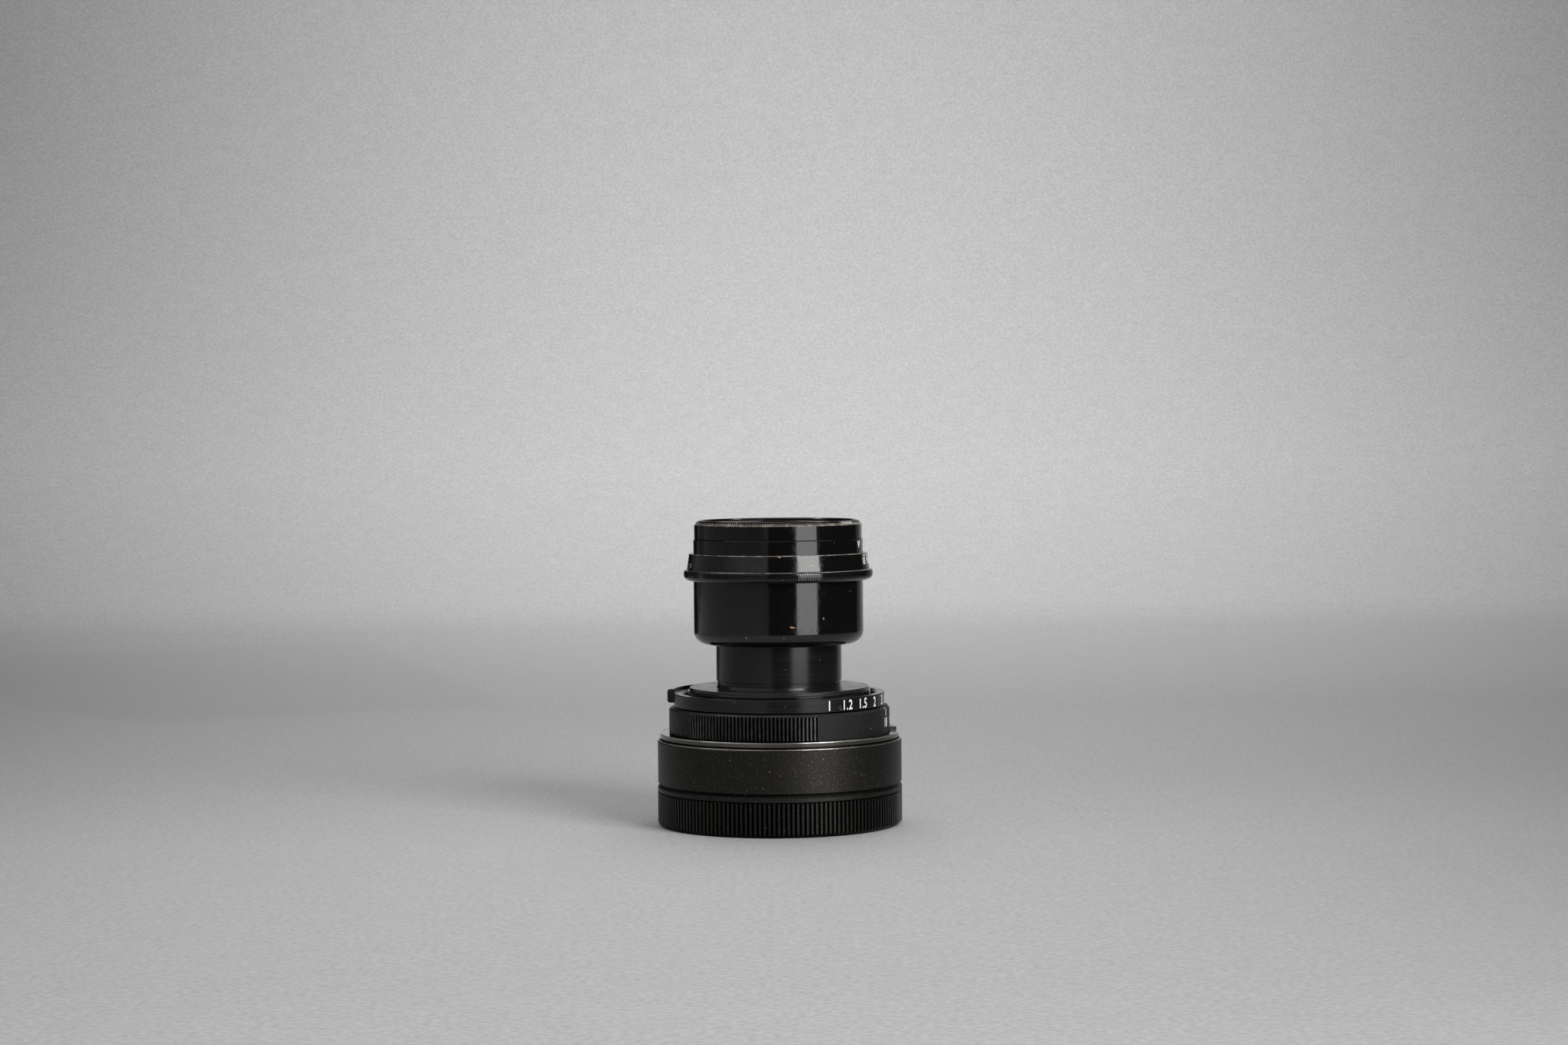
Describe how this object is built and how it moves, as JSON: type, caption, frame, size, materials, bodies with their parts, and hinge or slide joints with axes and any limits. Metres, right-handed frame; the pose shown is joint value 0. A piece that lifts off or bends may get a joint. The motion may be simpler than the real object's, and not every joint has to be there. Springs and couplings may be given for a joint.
{
  "type": "prime camera lens",
  "caption": "Vintage fast prime lens head on a slim neck and focusing mount, with a leaf iris, a mount adapter ring and a ribbed rear cap.",
  "frame": {"origin": "on the optical axis, in the face that the rear cap rests on", "axes": "+Z along the optical axis towards the front of the lens; -Y is the side with the distance scale's near end, +X the side with the focusing index"},
  "size_m": [0.0526, 0.0526, 0.0654],
  "materials": {
    "anodised_black": "matte bead-blasted black anodising",
    "polished_dark": "dark polished metal",
    "satin_black": "satin black with fine turning lines",
    "gloss_lacquer": "glossy black lacquer over brass, a little worn",
    "disc_satin": "smooth satin black disc",
    "raw_brass": "bare brass",
    "raw_aluminium": "bare turned aluminium",
    "inner_black": "matte black inner parts",
    "bronze_ring": "darkened brass ring",
    "steel_screw": "blued steel screws",
    "blade_steel": "blackened spring steel",
    "coated_glass": "coated optical glass"
  },
  "bodies": {
    "mount": {"mount_flange": "polished_dark", "flange_screws": "steel_screw", "index_block": "satin_black", "depth_scale_ring": "satin_black", "guide_key": "raw_brass", "guide_key_screw": "steel_screw"},
    "focus": {"focus_ring": "satin_black", "helicoid_sleeve": "raw_brass", "focus_tab": "satin_black", "focus_tab_screws": "steel_screw", "focus_set_screws": "steel_screw", "sleeve_lock_screw": "steel_screw"},
    "head": {"inner_barrel": "raw_aluminium", "rangefinder_cam": "raw_brass", "seat_disc": "disc_satin", "neck_foot": "satin_black", "neck_tube": "satin_black", "lens_barrel": "gloss_lacquer", "rear_cell": "inner_black", "rear_element": "coated_glass", "rear_retaining_ring": "inner_black", "pair_rear_element": "coated_glass", "pair_front_element": "coated_glass", "pair_retaining_ring": "inner_black", "iris_base_plate": "inner_black", "iris_spacer_ring": "inner_black", "iris_retaining_ring": "inner_black", "front_cell": "gloss_lacquer", "third_element": "coated_glass", "second_element": "coated_glass", "second_retaining_ring": "inner_black", "front_element": "coated_glass", "front_retaining_ring": "bronze_ring"},
    "aperture": {"aperture_ring": "gloss_lacquer", "aperture_screw": "steel_screw", "iris_cam_ring": "raw_brass"},
    "adapter": {"mount_adapter": "anodised_black"},
    "cap": {"rear_cap": "anodised_black"},
    "blade_01": {"iris_blade_01": "blade_steel"},
    "blade_02": {"iris_blade_02": "blade_steel"},
    "blade_03": {"iris_blade_03": "blade_steel"},
    "blade_04": {"iris_blade_04": "blade_steel"},
    "blade_05": {"iris_blade_05": "blade_steel"},
    "blade_06": {"iris_blade_06": "blade_steel"},
    "blade_07": {"iris_blade_07": "blade_steel"},
    "blade_08": {"iris_blade_08": "blade_steel"},
    "blade_09": {"iris_blade_09": "blade_steel"},
    "blade_10": {"iris_blade_10": "blade_steel"}
  },
  "joints": [
    {"name": "focus_turn", "type": "hinge", "parent": "mount", "child": "focus", "pos_m": [0, 0, 0.027], "axis": [0, 0, 1], "range_deg": [0, 69.2]},
    {"name": "head_focus", "type": "slide", "parent": "mount", "child": "head", "axis": [0, 0, 1], "range_m": [0, 0.0028]},
    {"name": "aperture_turn", "type": "hinge", "parent": "head", "child": "aperture", "pos_m": [0, 0, 0.0555], "axis": [0, 0, 1], "range_deg": [-57.5, 0]},
    {"name": "adapter_twist", "type": "hinge", "parent": "mount", "child": "adapter", "pos_m": [0, 0, 0.0188], "axis": [0, 0, 1], "range_deg": [-45, 0]},
    {"name": "cap_twist", "type": "hinge", "parent": "adapter", "child": "cap", "pos_m": [0, 0, 0.0088], "axis": [0, 0, 1], "range_deg": [-45, 0]},
    {"name": "blade_01_swing", "type": "hinge", "parent": "head", "child": "blade_01", "pos_m": [0.01501, 0.00238, 0.0475], "axis": [0, 0, 1], "range_deg": [-31.89, 0]},
    {"name": "blade_02_swing", "type": "hinge", "parent": "head", "child": "blade_02", "pos_m": [0.01075, 0.01075, 0.0475], "axis": [0, 0, 1], "range_deg": [-31.89, 0]},
    {"name": "blade_03_swing", "type": "hinge", "parent": "head", "child": "blade_03", "pos_m": [0.00238, 0.01501, 0.0475], "axis": [0, 0, 1], "range_deg": [-31.89, 0]},
    {"name": "blade_04_swing", "type": "hinge", "parent": "head", "child": "blade_04", "pos_m": [-0.0069, 0.01354, 0.0475], "axis": [0, 0, 1], "range_deg": [-31.89, 0]},
    {"name": "blade_05_swing", "type": "hinge", "parent": "head", "child": "blade_05", "pos_m": [-0.01354, 0.0069, 0.0475], "axis": [0, 0, 1], "range_deg": [-31.89, 0]},
    {"name": "blade_06_swing", "type": "hinge", "parent": "head", "child": "blade_06", "pos_m": [-0.01501, -0.00238, 0.0475], "axis": [0, 0, 1], "range_deg": [-31.89, 0]},
    {"name": "blade_07_swing", "type": "hinge", "parent": "head", "child": "blade_07", "pos_m": [-0.01075, -0.01075, 0.0475], "axis": [0, 0, 1], "range_deg": [-31.89, 0]},
    {"name": "blade_08_swing", "type": "hinge", "parent": "head", "child": "blade_08", "pos_m": [-0.00238, -0.01501, 0.0475], "axis": [0, 0, 1], "range_deg": [-31.89, 0]},
    {"name": "blade_09_swing", "type": "hinge", "parent": "head", "child": "blade_09", "pos_m": [0.0069, -0.01354, 0.0475], "axis": [0, 0, 1], "range_deg": [-31.89, 0]},
    {"name": "blade_10_swing", "type": "hinge", "parent": "head", "child": "blade_10", "pos_m": [0.01354, -0.0069, 0.0475], "axis": [0, 0, 1], "range_deg": [-31.89, 0]}
  ],
  "couplings": [
    {"joint": "focus_turn", "follows": "head_focus", "rad_per_m": 431.35},
    {"joint": "blade_01_swing", "follows": "aperture_turn", "ratio": 0.55452},
    {"joint": "blade_02_swing", "follows": "aperture_turn", "ratio": 0.55452},
    {"joint": "blade_03_swing", "follows": "aperture_turn", "ratio": 0.55452},
    {"joint": "blade_04_swing", "follows": "aperture_turn", "ratio": 0.55452},
    {"joint": "blade_05_swing", "follows": "aperture_turn", "ratio": 0.55452},
    {"joint": "blade_06_swing", "follows": "aperture_turn", "ratio": 0.55452},
    {"joint": "blade_07_swing", "follows": "aperture_turn", "ratio": 0.55452},
    {"joint": "blade_08_swing", "follows": "aperture_turn", "ratio": 0.55452},
    {"joint": "blade_09_swing", "follows": "aperture_turn", "ratio": 0.55452},
    {"joint": "blade_10_swing", "follows": "aperture_turn", "ratio": 0.55452}
  ]
}
